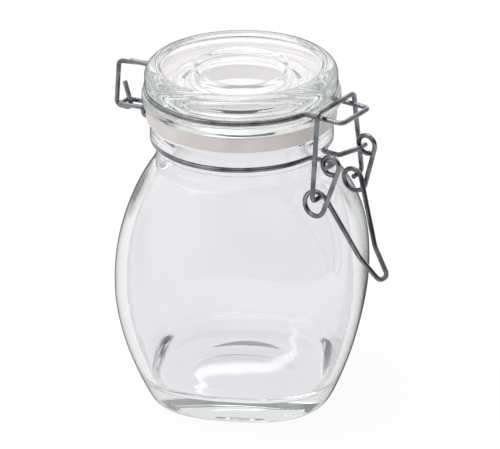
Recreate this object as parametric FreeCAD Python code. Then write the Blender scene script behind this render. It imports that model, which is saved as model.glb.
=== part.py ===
import FreeCAD, Part
import math
import os

# Clamp-lid glass canister. Millimetres and degrees, Z up, base resting on Z = 0.
# The lever is at the front (-Y) and the lid's hinge at the back (+Y).

Vector = FreeCAD.Vector
os.makedirs("parts", exist_ok=True)

# Jar: a belly with four soft flats that runs into a round neck
jar_height = 72.9
neck_height = 10.9          # round part from the shoulder to the rim
belly_half = 30.8           # half the width across the flats
belly_rise = 0.43           # height of the widest place, as a share of jar_height
base_half = 22.5
neck_radius = 20.8
mouth_radius = 17.0
body_turn = 26.5            # the round neck lets the clamp sit at any angle to the flats
base_square = 2.7           # power of the outline: 2 is a circle, more is squarer
belly_square = 3.0
round_square = 2.0
low_bulge = 1.8             # power of the wall's curve below the belly
high_bulge = 2.4            # and above it
neck_blend = 0.6            # softness of the bend between shoulder and neck
wall = 2.6
floor_height = 7.0
floor_corner = 4.0
heel = 3.0                  # rounding where the walls meet the base
base_dish = 1.4             # hollow under the base
dish_radius = 15.0
rim_height = 4.05
rim_lip = 1.6               # how far the rim stands out from the neck
bead_out = 0.3              # bead under the groove, out from the groove's bottom
bead_height = 1.1
bead_blend = 0.9            # height in which the bead runs into the neck
mouth_flare = 0.8
bore_ease = 0.25            # the mouth's straight bore, out from the hollow's own neck
outline_points = 24
body_levels = 14

# Lid and gasket
lid_height = 9.8
lid_overhang = 1.85         # how far the lid's flange stands out past the rim
flange_height = 2.8
disc_inset = 0.75           # upper disc, inside the flange's edge
collar_height = 5.5
collar_width = 3.0
collar_draft = 0.6
lid_rim_width = 3.2
lid_dish = 0.9
lid_eye_radius = 11.6       # round hollow in the middle of the lid
lid_eye_depth = 1.2
lid_vault = 2.6             # hollow under the lid, inside the collar
gasket_height = 4.2
gasket_inset = 1.0          # gasket's edge, inside the flange's edge

# Roundings of the pressed glass and the rubber
groove_round = 0.2
lip_round = 0.4
edge_round = 0.6
rim_round = 0.9
ridge_round = 0.8
collar_round = 1.1
lid_top_round = 3.0
vault_round = 2.0
gasket_round = 0.7
gasket_bore_round = 0.3

# Clamp wires
wire = 1.2
nose_reach = 8.8            # nose of the lid ring, out from the lid's flange
nose_half = 5.8
bar_reach = 3.15            # link's bar, out from the flange
bar_half = 7.8
link_foot_half = 10.9
pivot_reach = 6.1           # lever's pivot, out from the flange
pivot_rise = 1.45           # above the neck ring
foot_reach = 3.65           # link's pins in the lever, out from the flange
foot_drop = 7.1             # below the neck ring
pin_root_half = 2.4         # neck ring's ends where they leave the neck
eye_half = 7.8
eye_lean = 30.0             # side of the eye that rests on the pin
loop_lean = 65.0            # side of the loop that the link's pin pulls on
eye_turn = 310.0            # how far round the pin the eye goes
coil_step = 46.0            # largest turn of a coil between two of its corners
handle_reach = 5.75         # bend of the handle, out from belly and pivot
handle_drop = 22.1          # below the neck ring
handle_half = 3.5
tip_reach = 10.55
tip_drop = 28.0
tip_half = 1.8
hinge_reach = 11.65         # hinge bar, out from the flange
hinge_rise = 0.25           # above the neck ring
hinge_half = 1.9
step_reach = 4.2            # where the hinge loop's arms step up, out from the flange
step_drop = 1.6             # the arms dip this far below the neck ring before the step
hook_height = 5.6           # free end of the hook, above the hinge bar
hook_fall = 1.6             # the hook's arm drops from the ring to its bend

# Clearances
groove_gap = 0.1            # wire rings in their grooves
seat_gap = 0.05             # gasket between lid and rim
mouth_gap = 0.8             # collar in the mouth
run_gap = 0.1               # pins in their eyes
latch_gap = 0.7             # link's bar above the nose: it dips as the lever passes over centre

# Heights and radii that follow from these
wire_radius = wire / 2
belly_z = jar_height * belly_rise
shoulder_z = jar_height - neck_height
rim_radius = neck_radius + rim_lip
neck_ring_z = jar_height - rim_height - wire_radius - groove_gap
neck_groove = rim_radius - wire
neck_ring_radius = neck_groove + wire_radius + groove_gap
lid_z = jar_height + gasket_height + 2 * seat_gap
lid_top = lid_z + lid_height
flange_radius = rim_radius + lid_overhang
disc_radius = flange_radius - disc_inset
lid_groove = disc_radius - wire_radius - groove_gap * 3
lid_ring_radius = lid_groove + wire_radius + groove_gap
lid_ring_z = lid_z + flange_height + wire_radius + groove_gap
collar_radius = mouth_radius - mouth_gap
gasket_radius = flange_radius - gasket_inset

# Bends of the wire, at its middle
bend = wire * 1.1
tight_bend = wire * 0.72
wide_bend = wire * 4
eye_radius = wire * 1.9
loop_radius = wire * 2.45
coil_bend = 0.96            # rounding of a coil's corners, as a share of its radius
tip_bend = tip_half * 0.95
pin_bend = wire * 0.9
root_bend = wire * 1.3

# Lengths of the wire's ends and steps
pin_overhang = wire * 0.7   # how far a pin stands out past its eye
pin_lead = wire * 1.8       # straight part of a pin inside its eye
root_run = wire * 3
hinge_step = tight_bend * 3
hook_out = wire * 1.9       # outer leg of the hook, out from the hinge bar
hook_in = wire * 2.2
hook_lean = wire * 0.4      # free end of the hook, inwards of the hinge bar
arm_start = wire            # straight start of the arms behind the flange
hook_tilt = wire * 0.95
tail_short = wire * 3       # the ring's plain end stops this far before the hinge bar
loop_outer_half = eye_half + wire * 1.15
loop_inner_half = loop_outer_half - wire - run_gap

# Points of the clamp, as distance towards the lever and height
pivot = (flange_radius + pivot_reach, neck_ring_z + pivot_rise)
foot = (flange_radius + foot_reach, neck_ring_z - foot_drop)
bar = (flange_radius + bar_reach, lid_ring_z + wire + latch_gap)
handle_root = max(belly_half, pivot[0])
handle_bend = (handle_root + handle_reach, neck_ring_z - handle_drop)
tip = (handle_root + tip_reach, neck_ring_z - tip_drop)
hinge = (-flange_radius - hinge_reach, neck_ring_z + hinge_rise)


def polar(centre, radius, degrees):
    angle = math.radians(degrees)
    return (centre[0] + radius * math.cos(angle), centre[1] + radius * math.sin(angle))


def place(reach, across, z):
    """A point from its distance towards the lever, its distance across and its height."""
    return Vector(across, -reach, z)


def corner(before, at, after, radius):
    """The arc that rounds one corner, and its two ends."""
    back = before.sub(at).normalize()
    ahead = after.sub(at).normalize()
    half = back.getAngle(ahead) / 2
    cut = radius / math.tan(half)
    inward = back.add(ahead).normalize()
    middle = at.add(inward * (radius / math.sin(half) - radius))
    start = at.add(back * cut)
    end = at.add(ahead * cut)
    return Part.Arc(start, middle, end).toShape(), start, end


def rounded_line(points, radii):
    """Edges through points, with an arc of the given radius at each inner one."""
    edges = []
    last = points[0]
    for before, at, after, radius in zip(points, points[1:], points[2:], radii):
        arc, start, end = corner(before, at, after, radius)
        edges.append(Part.makeLine(last, start))
        edges.append(arc)
        last = end
    edges.append(Part.makeLine(last, points[-1]))
    return edges


def rounded_profile(points):
    """A closed face in the XZ plane from (radius, z, rounding) corners."""
    corners = [Vector(r, 0, z) for r, z, rounding in points]
    edges = []
    ends = []
    for i, (r, z, rounding) in enumerate(points):
        if rounding > 0:
            arc, start, end = corner(corners[i - 1], corners[i], corners[(i + 1) % len(points)], rounding)
            edges.append(arc)
            ends.append((start, end))
        else:
            ends.append((corners[i], corners[i]))
    for i, (start, end) in enumerate(ends):
        following = ends[(i + 1) % len(ends)][0]
        if end.sub(following).Length > 1e-6:
            edges.append(Part.makeLine(end, following))
    return Part.Face(Part.Wire(Part.__sortEdges__(edges)))


def turned(points):
    return rounded_profile(points).revolve(Vector(0, 0, 0), Vector(0, 0, 1), 360)


def bent_wire(edges):
    """Round wire along edges that follow each other without a kink."""
    first = edges[0]
    start = first.valueAt(first.FirstParameter)
    along = first.tangentAt(first.FirstParameter)
    round_section = Part.Wire(Part.makeCircle(wire_radius, start, along))
    return Part.Wire(edges).makePipeShell([round_section], True, False)


def half_width(z, inset, least):
    """Half the width of the body at a height, inside its wall by inset and no less than least."""
    if z < belly_z:
        share = (belly_z - z) / belly_z
        free = belly_half - (belly_half - base_half) * share ** low_bulge - inset
    else:
        share = (z - belly_z) / (shoulder_z - belly_z)
        free = belly_half - (belly_half - neck_radius) * share ** high_bulge - inset
    return (free + least) / 2 + math.hypot((free - least) / 2, neck_blend)


def squareness(z):
    if z < belly_z:
        return base_square + (belly_square - base_square) * z / belly_z
    share = min(1, (z - belly_z) / (shoulder_z - belly_z))
    return round_square + (belly_square - round_square) * (1 - share ** 2)


def outline(z, inset, least):
    power = squareness(z)
    size = half_width(z, inset, least)
    points = []
    for i in range(outline_points):
        angle = 2 * math.pi * i / outline_points
        reach = abs(math.cos(angle)) ** power + abs(math.sin(angle)) ** power
        radius = size / reach ** (1 / power)
        turned_angle = angle + math.radians(body_turn)
        points.append(Vector(radius * math.cos(turned_angle), radius * math.sin(turned_angle), z))
    curve = Part.BSplineCurve()
    curve.interpolate(Points=points, PeriodicFlag=True)
    return Part.Wire(curve.toShape())


def body_solid(bottom, top, inset, least, rounding):
    """Loft of the body's outlines, rounded where the wall meets the bottom."""
    step = (top - bottom) / (body_levels - 1)
    outlines = [outline(bottom + step * i, inset, least) for i in range(body_levels)]
    solid = Part.makeLoft(outlines, True, False)
    foot_edges = [e for e in solid.Edges if e.BoundBox.ZMax < bottom + step / 2]
    return solid.makeFillet(rounding, foot_edges)


def make_jar():
    body_top = neck_ring_z - wire
    glass = body_solid(0, body_top, 0, neck_radius, heel)
    groove_low = neck_ring_z - wire_radius - groove_gap
    groove_high = neck_ring_z + wire_radius + groove_gap
    bead_low = groove_low - bead_height
    bead_radius = neck_groove + bead_out
    core = mouth_radius - wall
    neck = turned([
        (core, bead_low - bead_blend, 0),
        (neck_radius - bead_out, bead_low - bead_blend, 0),
        (bead_radius, bead_low, lip_round),
        (bead_radius, groove_low, groove_round),
        (neck_groove, groove_low, groove_round),
        (neck_groove, groove_high, groove_round),
        (rim_radius, groove_high, lip_round),
        (rim_radius, jar_height, rim_round),
        (core, jar_height, 0)])
    inside = body_solid(floor_height, neck_ring_z, wall, mouth_radius, floor_corner)
    bore = mouth_radius + bore_ease
    above = jar_height + wall
    mouth = turned([
        (0, body_top, 0),
        (bore, body_top, 0),
        (bore, jar_height - mouth_flare, 0),
        (bore + mouth_flare, jar_height, 0),
        (bore + mouth_flare, above, 0),
        (0, above, 0)])
    ball = (dish_radius ** 2 + base_dish ** 2) / (2 * base_dish)
    dish = Part.makeSphere(ball, Vector(0, 0, base_dish - ball))
    return glass.fuse(neck).cut(inside.fuse(mouth)).cut(dish).Solids[0]


def make_lid():
    groove_low = lid_ring_z - wire_radius - groove_gap
    groove_high = lid_ring_z + wire_radius + groove_gap
    dish_z = lid_top - lid_dish
    eye_z = dish_z - lid_eye_depth
    collar_z = lid_z - collar_height
    collar_inner = collar_radius - collar_width
    vault_z = lid_z + lid_vault
    return turned([
        (0, eye_z, 0),
        (lid_eye_radius - lid_eye_depth, eye_z, ridge_round),
        (lid_eye_radius, dish_z, ridge_round),
        (disc_radius - lid_rim_width - lid_dish, dish_z, ridge_round),
        (disc_radius - lid_rim_width, lid_top, ridge_round),
        (disc_radius, lid_top, lid_top_round),
        (disc_radius, groove_high, lip_round),
        (lid_groove, groove_high, groove_round),
        (lid_groove, groove_low, groove_round),
        (flange_radius, groove_low, edge_round),
        (flange_radius, lid_z, edge_round),
        (collar_radius, lid_z, lip_round),
        (collar_radius, collar_z, collar_round),
        (collar_inner, collar_z, collar_round),
        (collar_inner - collar_draft, vault_z, vault_round),
        (0, vault_z, 0)])


def make_gasket():
    low = jar_height + seat_gap
    high = lid_z - seat_gap
    inner = collar_radius + groove_gap
    return turned([
        (inner, low, gasket_bore_round),
        (gasket_radius, low, gasket_round),
        (gasket_radius, high, gasket_round),
        (inner, high, gasket_bore_round)])


def ring_side(radius, z, front_half, back_half, side):
    """Half of a wire ring, bent outwards at the front and at the back, in order from the front."""
    def turn_out(half, way):
        across = half + bend
        centre = Vector(side * across, -way * math.sqrt((radius + bend) ** 2 - across ** 2), z)
        on_ring = Vector(centre.x, centre.y, 0) * (radius / (radius + bend))
        on_ring.z = z
        outside = Vector(side * half, centre.y, z)
        inward = outside.sub(centre).add(on_ring.sub(centre)).normalize()
        return outside, centre.add(inward * bend), on_ring

    front, front_middle, ring_start = turn_out(front_half, 1)
    back, back_middle, ring_end = turn_out(back_half, -1)
    middle = Vector(side * radius, 0, z)
    return [(front, front_middle, ring_start), (ring_start, middle, ring_end), (ring_end, back_middle, back)]


def arcs(triples):
    return [Part.Arc(*triple).toShape() for triple in triples]


def reverse(triples):
    return [tuple(reversed(triple)) for triple in reversed(triples)]


def make_lid_ring():
    """Ring, nose at the front, one end hooked round the hinge bar and the other laid beside it."""
    tail_half = wire + groove_gap
    near = ring_side(lid_ring_radius, lid_ring_z, nose_half, tail_half, -1)
    far = ring_side(lid_ring_radius, lid_ring_z, nose_half, 0, 1)
    nose = flange_radius + nose_reach
    tail_end = place(hinge[0] + tail_short, -tail_half, lid_ring_z)
    edges = [Part.makeLine(tail_end, near[-1][-1])]
    edges += arcs(reverse(near))
    edges += rounded_line(
        [near[0][0],
         place(nose, -nose_half, lid_ring_z),
         place(nose, nose_half, lid_ring_z),
         far[0][0]],
        [bend, bend])
    edges += arcs(far)
    below = hinge[1] - wire - run_gap
    outer = hinge[0] - hook_out
    edges += rounded_line(
        [far[-1][-1],
         place(-flange_radius - arm_start, 0, lid_ring_z),
         place(outer + hook_tilt, 0, lid_ring_z - hook_fall),
         place(outer, 0, below),
         place(hinge[0] + hook_in, 0, below),
         place(hinge[0] + hook_lean, 0, hinge[1] + hook_height)],
        [wide_bend, bend, bend, bend])
    return bent_wire(edges)


def make_neck_ring():
    """Ring, two pivot pins at the front and a narrow stepped loop for the hinge at the back."""
    pin_end = eye_half + pin_overhang
    pin_start = eye_half - pin_lead
    step = -flange_radius - step_reach
    step_low = neck_ring_z - step_drop
    step_top = step_low + hinge_step
    arm = -flange_radius - arm_start

    def hinge_arm(side, root):
        return [
            root,
            place(arm, side * hinge_half, neck_ring_z),
            place(step, side * hinge_half, step_low),
            place(step, side * hinge_half, step_top),
            place(hinge[0], side * hinge_half, hinge[1])]

    def pin(side, root):
        return [
            place(pivot[0], side * pin_end, pivot[1]),
            place(pivot[0], side * pin_start, pivot[1]),
            place(pivot[0] - root_run, side * pin_root_half, neck_ring_z),
            root]

    near = ring_side(neck_ring_radius, neck_ring_z, pin_root_half, hinge_half, -1)
    far = ring_side(neck_ring_radius, neck_ring_z, pin_root_half, hinge_half, 1)
    pin_bends = [pin_bend, root_bend]
    edges = rounded_line(pin(-1, near[0][0]), pin_bends)
    edges += arcs(near)
    arm_bends = [bend, tight_bend, tight_bend, tight_bend]
    loop = hinge_arm(-1, near[-1][-1]) + list(reversed(hinge_arm(1, far[-1][-1])))
    edges += rounded_line(loop, arm_bends + arm_bends[::-1])
    edges += arcs(reverse(far))
    edges += rounded_line(list(reversed(pin(1, far[0][0]))), list(reversed(pin_bends)))
    return bent_wire(edges)


def coil_corners(centre, radius, start, turn, first_half, last_half):
    """Corners whose rounding makes a turn of wire, clockwise from the start angle."""
    count = math.ceil(turn / coil_step)
    step = turn / count
    outer = radius / math.cos(math.radians(step / 2))
    corners = []
    for i in range(count):
        reach, z = polar(centre, outer, start - step * (i + 0.5))
        half = first_half + (last_half - first_half) * i / (count - 1)
        corners.append((reach, half, z))
    return corners


def make_lever():
    """Handle with an eye on each pin of the neck ring and a loop for each pin of the link."""
    slack = eye_radius - wire - run_gap
    eye = polar(pivot, slack, eye_lean)
    slack = loop_radius - wire - run_gap
    loop = polar(foot, -slack, loop_lean)
    crank = Vector(loop[0] - eye[0], loop[1] - eye[1], 0)
    crank_angle = math.degrees(math.atan2(crank.y, crank.x))
    side_angle = crank_angle + math.degrees(math.acos((eye_radius - loop_radius) / crank.Length))
    arm = Vector(handle_bend[0] - loop[0], handle_bend[1] - loop[1], 0)
    arm_angle = math.degrees(math.atan2(arm.y, arm.x))
    leave_angle = arm_angle + math.degrees(math.acos(loop_radius / arm.Length))
    loop_turn = 360 + side_angle - leave_angle

    start = polar(eye, eye_radius, side_angle + eye_turn)
    eye_corners = coil_corners(eye, eye_radius, side_angle + eye_turn, eye_turn, eye_half, eye_half)
    loop_corners = coil_corners(loop, loop_radius, side_angle, loop_turn, loop_outer_half, loop_inner_half)
    half = [(start[0], eye_half, start[1])] + eye_corners + loop_corners
    half.append((handle_bend[0], handle_half, handle_bend[1]))
    half.append((tip[0], tip_half, tip[1]))
    radii = [eye_radius * coil_bend] * len(eye_corners) + [loop_radius * coil_bend] * len(loop_corners)
    radii += [wide_bend, tip_bend]
    points = [place(reach, -across, z) for reach, across, z in half]
    points += [place(reach, across, z) for reach, across, z in reversed(half)]
    return bent_wire(rounded_line(points, radii + radii[::-1]))


def make_link():
    """Bail from the lever's loops up over the nose of the lid ring."""
    pin_end = loop_inner_half - pin_overhang
    half = [
        (foot[0], pin_end, foot[1]),
        (foot[0], link_foot_half, foot[1]),
        (bar[0], bar_half, bar[1])]
    points = [place(reach, -across, z) for reach, across, z in half]
    points += [place(reach, across, z) for reach, across, z in reversed(half)]
    return bent_wire(rounded_line(points, [bend, bend, bend, bend]))


pieces = {
    "jar": make_jar,
    "lid": make_lid,
    "gasket": make_gasket,
    "lid_ring": make_lid_ring,
    "neck_ring": make_neck_ring,
    "lever": make_lever,
    "link": make_link,
}
for name, make in pieces.items():
    solid = make()
    solid.exportStep("parts/" + name + ".step")
    print(name, solid.ShapeType, solid.isValid(), round(solid.Volume, 1))
print("pivot", pivot, "foot", foot, "bar", bar, "hinge", hinge)
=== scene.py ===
import math

import bmesh
import bpy
from bpy.props import FloatProperty, FloatVectorProperty, IntProperty, PointerProperty
from mathutils import Matrix, Vector


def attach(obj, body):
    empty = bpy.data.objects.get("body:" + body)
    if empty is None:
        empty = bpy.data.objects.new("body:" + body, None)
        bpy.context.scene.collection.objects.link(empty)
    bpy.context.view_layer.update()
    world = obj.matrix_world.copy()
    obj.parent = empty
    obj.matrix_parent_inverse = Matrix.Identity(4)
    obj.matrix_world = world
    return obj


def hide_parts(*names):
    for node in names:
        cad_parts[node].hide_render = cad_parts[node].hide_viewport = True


bl_info = {
    "name": "Lidded glass canister",
    "version": (1, 0, 0),
    "blender": (4, 5, 0),
    "location": "View3D > Sidebar > Canister",
    "description": "Glass, rubber and drawn wire for a canister with a clamped lid",
    "category": "Object",
}

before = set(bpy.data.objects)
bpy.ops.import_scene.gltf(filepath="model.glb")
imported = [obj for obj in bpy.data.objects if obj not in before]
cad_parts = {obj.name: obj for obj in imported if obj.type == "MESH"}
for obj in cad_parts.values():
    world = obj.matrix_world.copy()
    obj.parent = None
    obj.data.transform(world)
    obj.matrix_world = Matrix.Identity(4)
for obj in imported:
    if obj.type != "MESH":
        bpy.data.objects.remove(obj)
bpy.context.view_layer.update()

MM = 0.001
WIRE_NODES = ("lid_ring", "neck_ring", "lever", "link")

# Turned meshes
ROUND_POWER = 2.0               # power of an outline that is a circle
ARC_STEP = math.radians(10.0)   # largest turn between two points of a rounding
LEAST_ARC_STEPS = 3
RUN_STEP = 0.7 * MM             # longest run between two points of a section
AXIS_RADIUS = 1e-7              # a ring narrower than this is one point on the axis
DISH_STEPS = 12
WALL_STEPS = 56
FLOOR_SKIP = 3                  # steps of the inner floor that its corner takes up
BEAD_BLEND = 0.5 * MM           # height in which the bead runs into the neck
FLARE_RISE = 1.6                # height of the mouth's flare over its width

# Pressed glass: slow ripple, smears from handling, and painted shade: a dark outline where it is seen edge
# on
GLASS_INDEX = 1.5
RIPPLE_SCALE = 55.0
RIPPLE_DETAIL = 0.6
RIPPLE_STRENGTH = 0.35
RIPPLE_DEPTH = 0.4 * MM
SMEAR_SCALE = 38.0
SMEAR_DETAIL = 4.0
SMEAR_RANGE = (0.5, 0.8333)
CLEAR_ROUGHNESS = 0.004
SMEAR_ROUGHNESS = 0.03
EDGE_BLEND = 0.5
EDGE_POWER = 8.0
OUTER_SKIN = (0.0, 4 * MM)      # radius times the outward share of the normal
INNER_SKIN = 0.3                # how much of the painted dark outline the inner skin shows

# Rubber
MOTTLE_SCALE = 120.0
MOTTLE_DETAIL = 5.0
MOTTLE_RELIEF = 2.0             # depth of the mottle over that of the grain
GRAIN_SCALE = 2600.0
GRAIN_DETAIL = 3.0
GRAIN_STRENGTH = 0.3
GRAIN_DEPTH = 0.08 * MM
RUBBER_ROUGHNESS = 0.48
GRAIN_ROUGHNESS = 0.2
RUBBER_SCATTER = 0.1
SCATTER_REACH = (1.5 * MM, 1.0 * MM, 0.8 * MM)

# Steel wire
DULL_SCALE = 210.0
DULL_DETAIL = 5.0
DULL_RANGE = (0.42, 0.7057)
SCRATCH_SCALE = 4200.0
SCRATCH_DETAIL = 2.0
SCRATCH_STRENGTH = 0.25
SCRATCH_DEPTH = 0.03 * MM
WIRE_ROUGHNESS = 0.16
DULL_ROUGHNESS = 0.2
SCRATCH_ROUGHNESS = 0.06

# Camera and light paths
IMAGE_WIDTH = 500
SENSOR_WIDTH = 36.0
CLIP_START = 0.01
CLIP_END = 20.0
ALL_BOUNCES = 64
GLASS_BOUNCES = 48
MIRROR_BOUNCES = 48
BACKGROUND_RAYS = ("Is Camera Ray", "Is Glossy Ray", "Is Transmission Ray")
FLOOR_SINK = 0.02 * MM          # stage floor below the base

# Where the studio's parts start and are whole, as sines of a direction's height,
# of how far it points away from the camera and of how far it points to the camera's right
BELT_FOOT = (0.1, 0.25)
BELT_TOP = (0.75, 0.6)
BELT_AWAY = (0.15, 0.4)
FAR_WALL = (0.0, 0.6)
LEFT_WALL = (-0.25, -0.6)
CEILING = (0.6, 0.85)
STRIP_EDGE = (0.0003, 0.00003)  # squared distance from the strip's middle line
STRIP_AWAY = (0.3, 0.6)
STRIP_END = (0.1, 0.0)


def length(name, millimetres, description):
    return FloatProperty(
        name=name, description=description, default=millimetres * MM, unit="LENGTH", precision=5)


def number(name, value, description):
    return FloatProperty(name=name, description=description, default=value)


def angle(name, degrees, description):
    return FloatProperty(name=name, description=description, default=math.radians(degrees), subtype="ANGLE")


def colour(name, value, description):
    return FloatVectorProperty(
        name=name, description=description, default=value, size=3, min=0.0, max=1.0, subtype="COLOR")


class JarShape(bpy.types.PropertyGroup):
    """Sizes of the jar's glass."""
    height: length("Height", 72.9, "Base to rim")
    neck_height: length("Neck height", 10.9, "Shoulder to rim")
    belly_half: length("Belly half width", 30.8, "Half the width across the soft flats")
    belly_rise: number("Belly rise", 0.43, "Height of the widest place as a share of the height")
    base_half: length("Base half width", 22.5, "Half the width of the base")
    neck_radius: length("Neck radius", 20.8, "Outside of the neck below its bead")
    mouth_radius: length("Mouth radius", 17.0, "Inside of the neck")
    body_turn: angle("Body turn", 26.5, "Turn of the flats against the clamp")
    base_square: number("Base squareness", 2.7, "Power of the base's outline, 2 is a circle")
    belly_square: number("Belly squareness", 3.0, "Power of the belly's outline")
    low_bulge: number("Lower bulge", 1.8, "Power of the wall's curve below the belly")
    high_bulge: number("Upper bulge", 2.4, "Power of the wall's curve above the belly")
    neck_blend: length("Neck blend", 0.6, "Softness of the bend between shoulder and neck")
    wall: length("Wall", 2.6, "Thickness of the wall")
    floor_height: length("Floor height", 7.0, "Thickness of the base")
    floor_corner: length("Floor corner", 4.0, "Rounding between floor and wall inside")
    floor_dish: length("Floor dish", 0.8, "Sag of the floor in its middle")
    heel: length("Heel", 3.0, "Rounding between base and wall outside")
    base_dish: length("Base dish", 1.4, "Depth of the hollow under the base")
    dish_radius: length("Dish radius", 15.0, "Radius of that hollow")
    rim_height: length("Rim height", 4.05, "Height of the rim above the groove")
    rim_lip: length("Rim lip", 1.6, "How far the rim stands out from the neck")
    bead_out: length("Bead", 0.3, "Bead below the groove, out from the groove's bottom")
    bead_height: length("Bead height", 1.1, "Height of that bead")
    mouth_flare: length("Mouth flare", 0.8, "Widening at the top of the mouth")
    bore_ease: length("Bore ease", 0.25, "Straight bore of the mouth, out from the hollow's neck")


class LidShape(bpy.types.PropertyGroup):
    """Sizes of the lid's glass and of the gasket under it."""
    height: length("Height", 9.8, "Flange to top")
    overhang: length("Overhang", 1.85, "Flange past the jar's rim")
    flange_height: length("Flange height", 2.8, "Height of the flange")
    disc_inset: length("Disc inset", 0.75, "Upper disc, inside the flange's edge")
    collar_height: length("Collar height", 5.5, "How far the collar reaches into the mouth")
    collar_width: length("Collar width", 3.0, "Thickness of the collar")
    collar_draft: length("Collar draft", 0.6, "Taper of the collar's inside")
    rim_width: length("Rim width", 3.2, "Raised rim round the top")
    dish: length("Dish", 0.9, "Depth of the top inside its rim")
    eye_radius: length("Eye radius", 11.6, "Round hollow in the middle of the top")
    eye_depth: length("Eye depth", 1.2, "Depth of that hollow")
    vault: length("Vault", 2.6, "Hollow under the lid, above its flange")
    mouth_gap: length("Mouth gap", 0.8, "Collar in the mouth")
    gasket_height: length("Gasket height", 4.2, "Thickness of the rubber")
    gasket_inset: length("Gasket inset", 1.0, "Rubber, inside the flange's edge")
    seat_gap: length("Seat gap", 0.05, "Rubber to glass")


class Roundings(bpy.types.PropertyGroup):
    """Roundings of the glass and the rubber, and the wire that the grooves take."""
    groove: length("Groove", 0.2, "Edges of the wire grooves")
    lip: length("Lip", 0.4, "Small edges beside the grooves")
    edge: length("Edge", 0.6, "Edge of the lid's flange")
    rim: length("Rim", 0.9, "Top of the jar's rim")
    ridge: length("Ridge", 0.8, "Steps on top of the lid")
    collar: length("Collar", 1.1, "Lower edge of the collar")
    lid_top: length("Lid top", 3.0, "Outer edge of the lid's top")
    vault: length("Vault", 2.0, "Corner under the lid")
    gasket: length("Gasket", 0.7, "Outer edges of the rubber")
    gasket_bore: length("Gasket bore", 0.3, "Inner edges of the rubber")
    wire: length("Wire", 1.2, "Diameter of the clamp wire")
    groove_gap: length("Groove gap", 0.1, "Wire in its groove")
    segments: IntProperty(name="Segments", description="Faces round the glass", default=160, min=32)


class Finishes(bpy.types.PropertyGroup):
    """Colours of the glass, the rubber and the wire, and the painted shade at the glass's outline."""
    jar_tint: colour("Jar tint", (0.906, 0.901, 0.92), "Jar's glass seen through one wall")
    jar_smear: colour("Jar smear", (0.887, 0.882, 0.90), "Jar's glass where it is a little dull")
    lid_tint: colour("Lid tint", (0.978, 0.971, 0.977), "Lid's glass seen through one wall")
    lid_smear: colour("Lid smear", (0.958, 0.951, 0.957), "Lid's glass where it is a little dull")
    # Painted shade: the dark matt colour mixed into the glass where it is seen edge on
    painted_outline_shade: colour("Glass edge", (0.10, 0.11, 0.11), "Glass seen along its skin")
    thick_tint: colour("Thick glass", (0.30, 0.40, 0.36), "Colour that thick glass takes")
    # How strongly that painted dark outline shows on the jar and on the lid
    jar_painted_outline: number("Jar edge", 2.0, "How dark the jar's outline is")
    lid_painted_outline: number("Lid edge", 2.5, "How dark the lid's outline is")
    jar_density: number("Jar glass density", 6.0, "How soon the jar's glass takes that colour, per metre")
    lid_density: number("Lid glass density", 8.0, "How soon the lid's glass takes that colour, per metre")
    rubber_pale: colour("Rubber, pale", (0.70, 0.66, 0.645), "Lightest rubber")
    rubber_dark: colour("Rubber, dark", (0.47, 0.435, 0.425), "Darkest rubber")
    wire_bright: colour("Wire, bright", (0.23, 0.24, 0.255), "Clean drawn steel")
    wire_dull: colour("Wire, dull", (0.09, 0.094, 0.102), "Steel dulled by handling")


class StageSetup(bpy.types.PropertyGroup):
    """Floor, light and camera."""
    floor_colour: colour("Floor", (0.99, 0.99, 0.99), "Floor and backdrop")
    floor_glow: number("Floor glow", 0.88, "How much of the floor's white holds in the shadow")
    floor_half: length("Floor half width", 3000.0, "Half the side of the floor")
    sky_light: number("Sky light", 0.8, "Light from all round")
    belt_light: number("Belt light", 1.1, "Softboxes behind the canister that show in glass and wire")
    room_light: number("Room light", 0.12, "Dim room before the canister that shows in glass and wire")
    strip_light: number("Strip light", 3.2, "Slanting strip behind the jar that shows on its inner floor")
    strip_lean: number("Strip lean", -1.3, "Slant of that strip")
    strip_height: number("Strip height", 0.45, "Height of that strip as a sine")
    lamp_side: length("Lamp side", 900.0, "Side of the square softbox")
    lamp_power: number("Lamp power", 6.0, "Power of the softbox in watts")
    lamp_back: length("Lamp back", 100.0, "Softbox, away from the camera")
    lamp_left: length("Lamp left", 350.0, "Softbox, to the camera's left")
    lamp_rise: length("Lamp rise", 1000.0, "Softbox, above the point the camera is set on")
    view_turn: angle("View turn", -55.0, "Camera's turn round the canister")
    view_rise: angle("View rise", 25.0, "Camera's height over the horizon")
    view_roll: angle("View roll", -0.5, "Lean of the picture")
    view_distance: length("View distance", 800.0, "Camera to the canister's middle")
    view_height: length("View height", 43.5, "Height of the point the camera is set on")
    view_right: length("View right", 1.8, "Aim to the right of that point")
    view_up: length("View up", 0.2, "Aim above that point")
    focal_pixels: number("Focal length", 3237.7, "Focal length in pixels of the picture's width")


class CanisterSettings(bpy.types.PropertyGroup):
    """All that a user may change."""
    jar: PointerProperty(type=JarShape)
    lid: PointerProperty(type=LidShape)
    roundings: PointerProperty(type=Roundings)
    finishes: PointerProperty(type=Finishes)
    stage: PointerProperty(type=StageSetup)


class Socket:
    """One output of a node; sums, products and powers of it add Math nodes."""

    def __init__(self, tree, output):
        self.tree = tree
        self.output = output

    def math(self, operation, first, second):
        node = self.tree.nodes.new("ShaderNodeMath")
        node.operation = operation
        feed(self.tree, node.inputs[0], first)
        feed(self.tree, node.inputs[1], second)
        return Socket(self.tree, node.outputs[0])

    def __add__(self, other):
        return self.math("ADD", self, other)

    def __radd__(self, other):
        return self.math("ADD", other, self)

    def __sub__(self, other):
        return self.math("SUBTRACT", self, other)

    def __rsub__(self, other):
        return self.math("SUBTRACT", other, self)

    def __mul__(self, other):
        return self.math("MULTIPLY", self, other)

    def __rmul__(self, other):
        return self.math("MULTIPLY", other, self)

    def __pow__(self, other):
        return self.math("POWER", self, other)

    def at_most(self, other):
        return self.math("MINIMUM", self, other)

    def at_least(self, other):
        return self.math("MAXIMUM", self, other)


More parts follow.
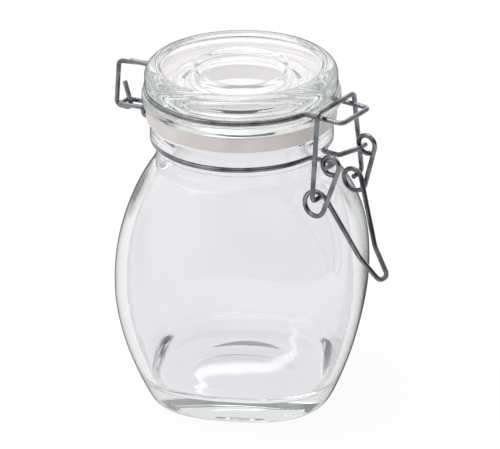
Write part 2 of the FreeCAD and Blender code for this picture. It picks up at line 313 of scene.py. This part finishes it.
def feed(tree, socket, value):
    """Link or set one input; a colour of three numbers gets its alpha."""
    if isinstance(value, Socket):
        tree.links.new(value.output, socket)
    elif hasattr(value, "__len__") and len(value) == 3 and len(getattr(socket, "default_value", ())) == 4:
        socket.default_value = (*value, 1.0)
    else:
        socket.default_value = value


class Recipe:
    """The nodes of one material or world."""

    def __init__(self, owner):
        owner.use_nodes = True
        self.tree = owner.node_tree
        self.tree.nodes.clear()

    def node(self, kind, settings=None, sockets=None, output=0):
        made = self.tree.nodes.new(kind)
        for name, value in (settings or {}).items():
            setattr(made, name, value)
        for name, value in (sockets or {}).items():
            feed(self.tree, made.inputs[name], value)
        return Socket(self.tree, made.outputs[output]) if made.outputs else None

    def noise(self, place, scale, detail):
        return self.node("ShaderNodeTexNoise", None, {"Vector": place, "Scale": scale, "Detail": detail})

    def relief(self, strength, depth, height):
        return self.node("ShaderNodeBump", None, {"Strength": strength, "Distance": depth, "Height": height})

    def dot(self, first, second):
        return self.node(
            "ShaderNodeVectorMath", {"operation": "DOT_PRODUCT"}, {0: first, 1: second}, output="Value")

    def step(self, value, start, end):
        """0 before start, 1 after end and a straight rise between."""
        return ((value - start) * (1.0 / (end - start))).at_least(0.0).at_most(1.0)

    def ray(self, name):
        return self.node("ShaderNodeLightPath", output=name)

    def background_rays(self):
        """1 for the rays that look at the background: straight, in a mirror or through glass."""
        straight, mirrored, through = [self.ray(name) for name in BACKGROUND_RAYS]
        return (straight + mirrored + through).at_most(1.0)

    def blend(self, share, first, second):
        return self.node(
            "ShaderNodeMix", {"data_type": "RGBA"}, {0: share, 6: first, 7: second}, output=2)


def new_material(name):
    material = bpy.data.materials.new(name)
    return material, Recipe(material)


def pressed_glass(name, finishes, clear, smeared, density, edge):
    """Clear glass with the slow ripple of a pressed surface and a trace of handling, with painted shade: a
    dark matt layer mixed in where it is seen edge on.
    """
    material, recipe = new_material(name)
    place = recipe.node("ShaderNodeTexCoord", output="Object")
    ripple = recipe.noise(place, RIPPLE_SCALE, RIPPLE_DETAIL)
    smear = recipe.noise(place, SMEAR_SCALE, SMEAR_DETAIL)
    dull = recipe.step(smear, *SMEAR_RANGE)
    spoke = recipe.node("ShaderNodeVectorMath", {"operation": "MULTIPLY"}, {0: place, 1: (1.0, 1.0, 0.0)})
    outward = recipe.dot(spoke, recipe.node("ShaderNodeTexCoord", output="Normal"))
    skin = INNER_SKIN + recipe.step(outward, *OUTER_SKIN) * (1.0 - INNER_SKIN)
    outside = skin * (1.0 - recipe.node("ShaderNodeNewGeometry", output="Backfacing"))
    # Painted shade: share of the dark outline, strongest where the outer skin is seen edge on
    facing = recipe.node("ShaderNodeLayerWeight", None, {"Blend": EDGE_BLEND}, output="Facing")
    painted_outline_share = facing ** EDGE_POWER * outside
    glass = recipe.node("ShaderNodeBsdfPrincipled", None, {
        "Base Color": recipe.blend(dull, clear, smeared),
        "Roughness": CLEAR_ROUGHNESS + dull * SMEAR_ROUGHNESS,
        "IOR": GLASS_INDEX,
        "Transmission Weight": 1.0,
        "Normal": recipe.relief(RIPPLE_STRENGTH, RIPPLE_DEPTH, ripple)})
    # Painted shade: a dark matt layer stands in for the dark that glass shows edge on
    rim = recipe.node("ShaderNodeBsdfDiffuse", None, {"Color": finishes.painted_outline_shade})
    surface = recipe.node("ShaderNodeMixShader", None, {0: (painted_outline_share * edge).at_most(1.0), 1: glass, 2: rim})
    inside = recipe.node("ShaderNodeVolumeAbsorption", None, {
        "Color": finishes.thick_tint, "Density": density})
    recipe.node("ShaderNodeOutputMaterial", None, {"Surface": surface, "Volume": inside})
    return material


def pale_rubber(name, finishes):
    """Matt moulded rubber, faintly mottled."""
    material, recipe = new_material(name)
    place = recipe.node("ShaderNodeTexCoord", output="Object")
    mottle = recipe.noise(place, MOTTLE_SCALE, MOTTLE_DETAIL)
    grain = recipe.noise(place, GRAIN_SCALE, GRAIN_DETAIL)
    surface = recipe.node("ShaderNodeBsdfPrincipled", None, {
        "Base Color": recipe.blend(mottle, finishes.rubber_dark, finishes.rubber_pale),
        "Roughness": RUBBER_ROUGHNESS + grain * GRAIN_ROUGHNESS,
        "Subsurface Weight": RUBBER_SCATTER,
        "Subsurface Radius": SCATTER_REACH,
        "Normal": recipe.relief(GRAIN_STRENGTH, GRAIN_DEPTH, grain + mottle * MOTTLE_RELIEF)})
    recipe.node("ShaderNodeOutputMaterial", None, {"Surface": surface})
    return material


def drawn_wire(name, finishes):
    """Drawn steel wire, finely scratched and dulled in patches."""
    material, recipe = new_material(name)
    place = recipe.node("ShaderNodeTexCoord", output="Object")
    dull = recipe.step(recipe.noise(place, DULL_SCALE, DULL_DETAIL), *DULL_RANGE)
    scratches = recipe.noise(place, SCRATCH_SCALE, SCRATCH_DETAIL)
    surface = recipe.node("ShaderNodeBsdfPrincipled", None, {
        "Base Color": recipe.blend(dull, finishes.wire_bright, finishes.wire_dull),
        "Metallic": 1.0,
        "Roughness": WIRE_ROUGHNESS + dull * DULL_ROUGHNESS + scratches * SCRATCH_ROUGHNESS,
        "Normal": recipe.relief(SCRATCH_STRENGTH, SCRATCH_DEPTH, scratches)})
    recipe.node("ShaderNodeOutputMaterial", None, {"Surface": surface})
    return material


def rounded(corners):
    """Points through (radius, z, rounding) corners, each rounding drawn as an arc."""
    points = []
    for i, (radius, z, rounding) in enumerate(corners):
        at = Vector((radius, z))
        if rounding <= 0 or i in (0, len(corners) - 1):
            points.append(at)
            continue
        back = (Vector(corners[i - 1][:2]) - at).normalized()
        ahead = (Vector(corners[i + 1][:2]) - at).normalized()
        half = back.angle(ahead) / 2
        centre = at + (back + ahead).normalized() * (rounding / math.sin(half))
        start = at + back * (rounding / math.tan(half)) - centre
        turn = math.pi - 2 * half
        way = 1 if back.cross(ahead) < 0 else -1
        steps = max(LEAST_ARC_STEPS, math.ceil(turn / ARC_STEP))
        for step in range(steps + 1):
            points.append(centre + Matrix.Rotation(way * turn * step / steps, 2) @ start)
    return points


def filled(points):
    """The same points with long runs divided, so that smooth shading stays near the bends."""
    line = [points[0]]
    for start, end in zip(points, points[1:]):
        count = max(1, math.ceil((end - start).length / RUN_STEP))
        line += [start.lerp(end, (i + 1) / count) for i in range(count)]
    return line


def turned_mesh(name, corners, segments, power=None, turn=0.0):
    """A closed skin through a section's corners round Z; power gives a squarer outline at a place."""
    mesh = bmesh.new()
    rings = []
    for half, z in filled(rounded(corners)):
        if half < AXIS_RADIUS:
            rings.append([mesh.verts.new((0, 0, z))])
            continue
        ring = []
        square = power(half, z) if power else ROUND_POWER
        for i in range(segments):
            around = 2 * math.pi * i / segments
            spread = abs(math.cos(around)) ** square + abs(math.sin(around)) ** square
            radius = half / spread ** (1 / square)
            ring.append(mesh.verts.new((
                radius * math.cos(around + turn), radius * math.sin(around + turn), z)))
        rings.append(ring)
    pairs = list(zip(rings, rings[1:]))
    if len(rings[0]) > 1:
        pairs.append((rings[-1], rings[0]))
    for low, high in pairs:
        for i in range(segments):
            after = (i + 1) % segments
            if len(low) == 1:
                mesh.faces.new((low[0], high[after], high[i]))
            elif len(high) == 1:
                mesh.faces.new((low[i], low[after], high[0]))
            else:
                mesh.faces.new((low[i], low[after], high[after], high[i]))
    bmesh.ops.recalc_face_normals(mesh, faces=mesh.faces)
    data = bpy.data.meshes.new(name)
    mesh.to_mesh(data)
    mesh.free()
    data.shade_smooth()
    piece = bpy.data.objects.new(name, data)
    bpy.context.scene.collection.objects.link(piece)
    return piece


def finish_piece(piece, body, node, material):
    """Give a new piece its finish and the body it rides on, and hide the CAD node it stands for."""
    piece.data.materials.append(material)
    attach(piece, body)
    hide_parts(node)


def neck_ring_height(settings):
    jar, roundings = settings.jar, settings.roundings
    return jar.height - jar.rim_height - roundings.wire / 2 - roundings.groove_gap


def jar_half_width(jar, z, inset, least):
    """Half the width of the body at a height, inside its wall by inset and no less than least."""
    belly = jar.height * jar.belly_rise
    shoulder = jar.height - jar.neck_height
    if z < belly:
        share = (belly - z) / belly
        free = jar.belly_half - (jar.belly_half - jar.base_half) * share ** jar.low_bulge - inset
    else:
        share = (z - belly) / (shoulder - belly)
        free = jar.belly_half - (jar.belly_half - jar.neck_radius) * share ** jar.high_bulge - inset
    return (free + least) / 2 + math.hypot((free - least) / 2, jar.neck_blend)


def jar_squareness(jar, half, z):
    """Power of the outline: squarer at base and belly, round at the neck and in the middle of the base."""
    belly = jar.height * jar.belly_rise
    shoulder = jar.height - jar.neck_height
    if z < belly:
        square = jar.base_square + (jar.belly_square - jar.base_square) * z / belly
        flat = jar.base_half - jar.heel - jar.dish_radius
        share = min(1.0, max(0.0, (half - jar.dish_radius) / flat))
        return ROUND_POWER + (square - ROUND_POWER) * share
    share = min(1.0, (z - belly) / (shoulder - belly))
    return ROUND_POWER + (jar.belly_square - ROUND_POWER) * (1 - share ** 2)


def jar_profile(settings):
    """Corners of the jar's section, from under its base up the outside and down the inside."""
    jar, roundings = settings.jar, settings.roundings
    ring_z = neck_ring_height(settings)
    reach = roundings.wire / 2 + roundings.groove_gap
    groove_low, groove_high = ring_z - reach, ring_z + reach
    rim_radius = jar.neck_radius + jar.rim_lip
    groove = rim_radius - roundings.wire
    bead = groove + jar.bead_out
    bead_low = groove_low - jar.bead_height
    ball = (jar.dish_radius ** 2 + jar.base_dish ** 2) / (2 * jar.base_dish)
    corners = []
    for i in range(DISH_STEPS + 1):
        radius = jar.dish_radius * i / DISH_STEPS
        corners.append((radius, math.sqrt(ball ** 2 - radius ** 2) - ball + jar.base_dish, 0))
    corners.append((jar.base_half, 0, jar.heel))
    wall_top = bead_low - BEAD_BLEND
    for i in range(WALL_STEPS + 1):
        z = jar.heel + (wall_top - jar.heel) * i / WALL_STEPS
        corners.append((jar_half_width(jar, z, 0, jar.neck_radius), z, 0))
    bore = jar.mouth_radius + jar.bore_ease
    corners += [
        (bead, bead_low, roundings.lip),
        (bead, groove_low, roundings.groove),
        (groove, groove_low, roundings.groove),
        (groove, groove_high, roundings.groove),
        (rim_radius, groove_high, roundings.lip),
        (rim_radius, jar.height, roundings.rim),
        (bore + jar.mouth_flare, jar.height, roundings.lip),
        (bore, jar.height - jar.mouth_flare * FLARE_RISE, roundings.edge)]
    bore_low = ring_z - roundings.wire
    floor_bend = jar.floor_height + jar.floor_corner
    for i in range(WALL_STEPS + 1):
        z = bore_low + (floor_bend - bore_low) * i / WALL_STEPS
        corners.append((jar_half_width(jar, z, jar.wall, jar.mouth_radius), z, 0))
    floor_half = jar_half_width(jar, jar.floor_height, jar.wall, jar.mouth_radius)
    corners.append((floor_half, jar.floor_height, jar.floor_corner))
    for i in range(1, DISH_STEPS + 1):
        share = 1 - (i + FLOOR_SKIP) / (DISH_STEPS + FLOOR_SKIP)
        corners.append((floor_half * share, jar.floor_height - jar.floor_dish * (1 - share ** 2), 0))
    return corners


def lid_heights(settings):
    """Underside of the flange, middle of the lid ring and top of the lid."""
    jar, lid, roundings = settings.jar, settings.lid, settings.roundings
    low = jar.height + lid.gasket_height + 2 * lid.seat_gap
    ring = low + lid.flange_height + roundings.wire / 2 + roundings.groove_gap
    return low, ring, low + lid.height


def flange_radius(settings):
    return settings.jar.neck_radius + settings.jar.rim_lip + settings.lid.overhang


def lid_profile(settings):
    """Corners of the lid's section, from the middle of its top round to the middle of its underside."""
    lid, roundings = settings.lid, settings.roundings
    low, ring, top = lid_heights(settings)
    reach = roundings.wire / 2 + roundings.groove_gap
    flange = flange_radius(settings)
    disc = flange - lid.disc_inset
    groove = disc - roundings.wire / 2 - roundings.groove_gap * 3
    dish = top - lid.dish
    eye = dish - lid.eye_depth
    collar = settings.jar.mouth_radius - lid.mouth_gap
    collar_low = low - lid.collar_height
    inner = collar - lid.collar_width
    vault = low + lid.vault
    return [
        (0, eye, 0),
        (lid.eye_radius - lid.eye_depth, eye, roundings.ridge),
        (lid.eye_radius, dish, roundings.ridge),
        (disc - lid.rim_width - lid.dish, dish, roundings.ridge),
        (disc - lid.rim_width, top, roundings.ridge),
        (disc, top, roundings.lid_top),
        (disc, ring + reach, roundings.lip),
        (groove, ring + reach, roundings.groove),
        (groove, ring - reach, roundings.groove),
        (flange, ring - reach, roundings.edge),
        (flange, low, roundings.edge),
        (collar, low, roundings.lip),
        (collar, collar_low, roundings.collar),
        (inner, collar_low, roundings.collar),
        (inner - lid.collar_draft, vault, roundings.vault),
        (0, vault, 0)]


def gasket_profile(settings):
    """Corners of the rubber's section, from the middle of its bore right round."""
    lid, roundings = settings.lid, settings.roundings
    low = settings.jar.height + lid.seat_gap
    high = low + lid.gasket_height
    inner = settings.jar.mouth_radius - lid.mouth_gap + roundings.groove_gap
    outer = flange_radius(settings) - lid.gasket_inset
    middle = (low + high) / 2
    return [
        (inner, middle, 0),
        (inner, low, roundings.gasket_bore),
        (outer, low, roundings.gasket),
        (outer, high, roundings.gasket),
        (inner, high, roundings.gasket_bore),
        (inner, middle + RUN_STEP, 0)]


class CANISTER_OT_jar(bpy.types.Operator):
    """Make the jar's glass: soft square belly, round neck, thick base"""
    bl_idname = "canister.jar"
    bl_label = "Jar"

    def execute(self, context):
        settings = context.scene.canister
        jar, finishes = settings.jar, settings.finishes
        piece = turned_mesh(
            "jar_glass", jar_profile(settings), settings.roundings.segments,
            lambda half, z: jar_squareness(jar, half, z), jar.body_turn)
        finish_piece(piece, "jar", "jar", pressed_glass(
            "jar_pressed_glass", finishes, finishes.jar_tint, finishes.jar_smear,
            finishes.jar_density, finishes.jar_painted_outline))
        # Soft light reaches the rubber and the floor as if the clear glass weren't there
        piece.visible_diffuse = False
        return {"FINISHED"}


class CANISTER_OT_lid(bpy.types.Operator):
    """Make the lid's glass: raised rim, groove for the wire, collar for the mouth"""
    bl_idname = "canister.lid"
    bl_label = "Lid"

    def execute(self, context):
        settings = context.scene.canister
        finishes = settings.finishes
        piece = turned_mesh("lid_glass", lid_profile(settings), settings.roundings.segments)
        finish_piece(piece, "lid", "lid", pressed_glass(
            "lid_pressed_glass", finishes, finishes.lid_tint, finishes.lid_smear,
            finishes.lid_density, finishes.lid_painted_outline))
        # The softbox and the soft light reach the rubber through the clear lid
        piece.visible_shadow = False
        piece.visible_diffuse = False
        return {"FINISHED"}


class CANISTER_OT_gasket(bpy.types.Operator):
    """Make the rubber ring between lid and rim"""
    bl_idname = "canister.gasket"
    bl_label = "Gasket"

    def execute(self, context):
        settings = context.scene.canister
        piece = turned_mesh("gasket_rubber", gasket_profile(settings), settings.roundings.segments)
        rubber = pale_rubber("gasket_pale_rubber", settings.finishes)
        finish_piece(piece, "lid", "gasket", rubber)
        return {"FINISHED"}


class CANISTER_OT_clamp(bpy.types.Operator):
    """Give the clamp's four wires their drawn steel"""
    bl_idname = "canister.clamp"
    bl_label = "Clamp wires"

    def execute(self, context):
        steel = drawn_wire("clamp_drawn_wire", context.scene.canister.finishes)
        for name in WIRE_NODES:
            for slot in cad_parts[name].material_slots:
                slot.material = steel
        return {"FINISHED"}


class CANISTER_OT_stage(bpy.types.Operator):
    """Set the pale floor, the soft light and the camera"""
    bl_idname = "canister.stage"
    bl_label = "Stage"

    def execute(self, context):
        scene = context.scene
        stage = scene.canister.stage
        make_floor(scene, stage)
        make_studio(scene, stage)
        make_softbox(scene, stage)
        make_camera(scene, stage)
        scene.view_settings.view_transform = "Standard"
        scene.cycles.max_bounces = ALL_BOUNCES
        scene.cycles.transmission_bounces = GLASS_BOUNCES
        scene.cycles.glossy_bounces = MIRROR_BOUNCES
        return {"FINISHED"}


def make_floor(scene, stage):
    """White paper that keeps a little of the canister's shadow."""
    half = stage.floor_half
    data = bpy.data.meshes.new("floor")
    data.from_pydata(
        [(-half, -half, 0), (half, -half, 0), (half, half, 0), (-half, half, 0)], [], [(0, 1, 2, 3)])
    floor = bpy.data.objects.new("floor", data)
    scene.collection.objects.link(floor)
    material, recipe = new_material("floor_paper")
    paper = recipe.node("ShaderNodeBsdfDiffuse", None, {"Color": stage.floor_colour})
    glow = recipe.node("ShaderNodeEmission", None, {"Color": stage.floor_colour, "Strength": 1.0})
    surface = recipe.node("ShaderNodeMixShader", None, {
        0: recipe.background_rays() * stage.floor_glow, 1: paper, 2: glow})
    recipe.node("ShaderNodeOutputMaterial", None, {"Surface": surface})
    data.materials.append(material)
    floor.location.z = -FLOOR_SINK


def view_axes(stage):
    """Right, up and back of the camera before its lean."""
    turn, rise = stage.view_turn, stage.view_rise
    back = Vector((math.sin(turn) * math.cos(rise), -math.cos(turn) * math.cos(rise), math.sin(rise)))
    right = Vector((math.cos(turn), math.sin(turn), 0))
    return right, back.cross(right), back


def make_camera(scene, stage):
    right, up, back = view_axes(stage)
    aim = Vector((0, 0, stage.view_height)) + right * stage.view_right + up * stage.view_up
    data = bpy.data.cameras.new("camera")
    data.sensor_width = SENSOR_WIDTH
    data.lens = stage.focal_pixels * SENSOR_WIDTH / IMAGE_WIDTH
    data.clip_start = CLIP_START
    data.clip_end = CLIP_END
    camera = bpy.data.objects.new("camera", data)
    axes = Matrix((right, up, back)).transposed()
    camera.matrix_world = (
        Matrix.Translation(aim + back * stage.view_distance)
        @ axes.to_4x4() @ Matrix.Rotation(stage.view_roll, 4, "Z"))
    scene.collection.objects.link(camera)
    scene.camera = camera


def make_studio(scene, stage):
    """White all round, with brighter softboxes behind and a dim room in front for mirrors and glass."""
    right, _, back = view_axes(stage)
    world = bpy.data.worlds.new("studio")
    scene.world = world
    recipe = Recipe(world)
    direction = recipe.node("ShaderNodeTexCoord", output="Generated")
    height = recipe.node("ShaderNodeSeparateXYZ", None, {"Vector": direction}, output="Z")
    away = recipe.dot(direction, -back)
    side = recipe.dot(direction, right)
    belt = recipe.step(height, *BELT_FOOT) * recipe.step(height, *BELT_TOP) * recipe.step(away, *BELT_AWAY)
    walls = recipe.step(away, *FAR_WALL).at_least(
        recipe.step(side, *LEFT_WALL)).at_least(recipe.step(height, *CEILING))
    slant = height + side * stage.strip_lean - stage.strip_height
    strip = recipe.step(slant * slant, *STRIP_EDGE) * recipe.step(away, *STRIP_AWAY)
    strip = strip * recipe.step(side, *STRIP_END)
    through = recipe.ray("Is Transmission Ray")
    # A ray that glass bends counts as glossy too, so a mirrored one is what is left
    mirrored = recipe.ray("Is Glossy Ray") * (1.0 - through)
    seen = recipe.background_rays()
    room = (1.0 - walls) * (1.0 - stage.room_light)
    strength = (
        seen + (1.0 - seen) * stage.sky_light + through * strip * stage.strip_light
        + mirrored * (belt * stage.belt_light - room))
    light = recipe.node("ShaderNodeBackground", None, {"Color": (1.0, 1.0, 1.0), "Strength": strength})
    recipe.node("ShaderNodeOutputWorld", None, {"Surface": light})


def make_softbox(scene, stage):
    """One large square lamp above the canister, to the left and a little behind."""
    right, _, back = view_axes(stage)
    aim = Vector((0, 0, stage.view_height))
    place = aim - back * stage.lamp_back - right * stage.lamp_left + Vector((0, 0, stage.lamp_rise))
    data = bpy.data.lights.new("softbox", "AREA")
    data.shape = "SQUARE"
    data.size = stage.lamp_side
    data.energy = stage.lamp_power
    lamp = bpy.data.objects.new("softbox", data)
    lamp.location = place
    lamp.rotation_mode = "QUATERNION"
    lamp.rotation_quaternion = (aim - place).to_track_quat("-Z", "Y")
    scene.collection.objects.link(lamp)


PROPERTY_GROUPS = (JarShape, LidShape, Roundings, Finishes, StageSetup, CanisterSettings)
OPERATORS = (CANISTER_OT_jar, CANISTER_OT_lid, CANISTER_OT_gasket, CANISTER_OT_clamp, CANISTER_OT_stage)


class CANISTER_PT_panel(bpy.types.Panel):
    """Lists the canister's pieces and its stage"""
    bl_idname = "CANISTER_PT_panel"
    bl_label = "Canister"
    bl_space_type = "VIEW_3D"
    bl_region_type = "UI"
    bl_category = "Canister"

    def draw(self, context):
        for operator in OPERATORS:
            self.layout.operator(operator.bl_idname)
        settings = context.scene.canister
        for group in (settings.jar, settings.lid, settings.roundings, settings.finishes, settings.stage):
            box = self.layout.box()
            for name in group.__annotations__:
                box.prop(group, name)


CLASSES = (*PROPERTY_GROUPS, *OPERATORS, CANISTER_PT_panel)


def register():
    for each in CLASSES:
        bpy.utils.register_class(each)
    bpy.types.Scene.canister = PointerProperty(type=CanisterSettings)


def unregister():
    del bpy.types.Scene.canister
    for each in reversed(CLASSES):
        bpy.utils.unregister_class(each)


def main():
    register()
    for operator in OPERATORS:
        group, name = operator.bl_idname.split(".")
        getattr(getattr(bpy.ops, group), name)()


if __name__ == "__main__":
    main()
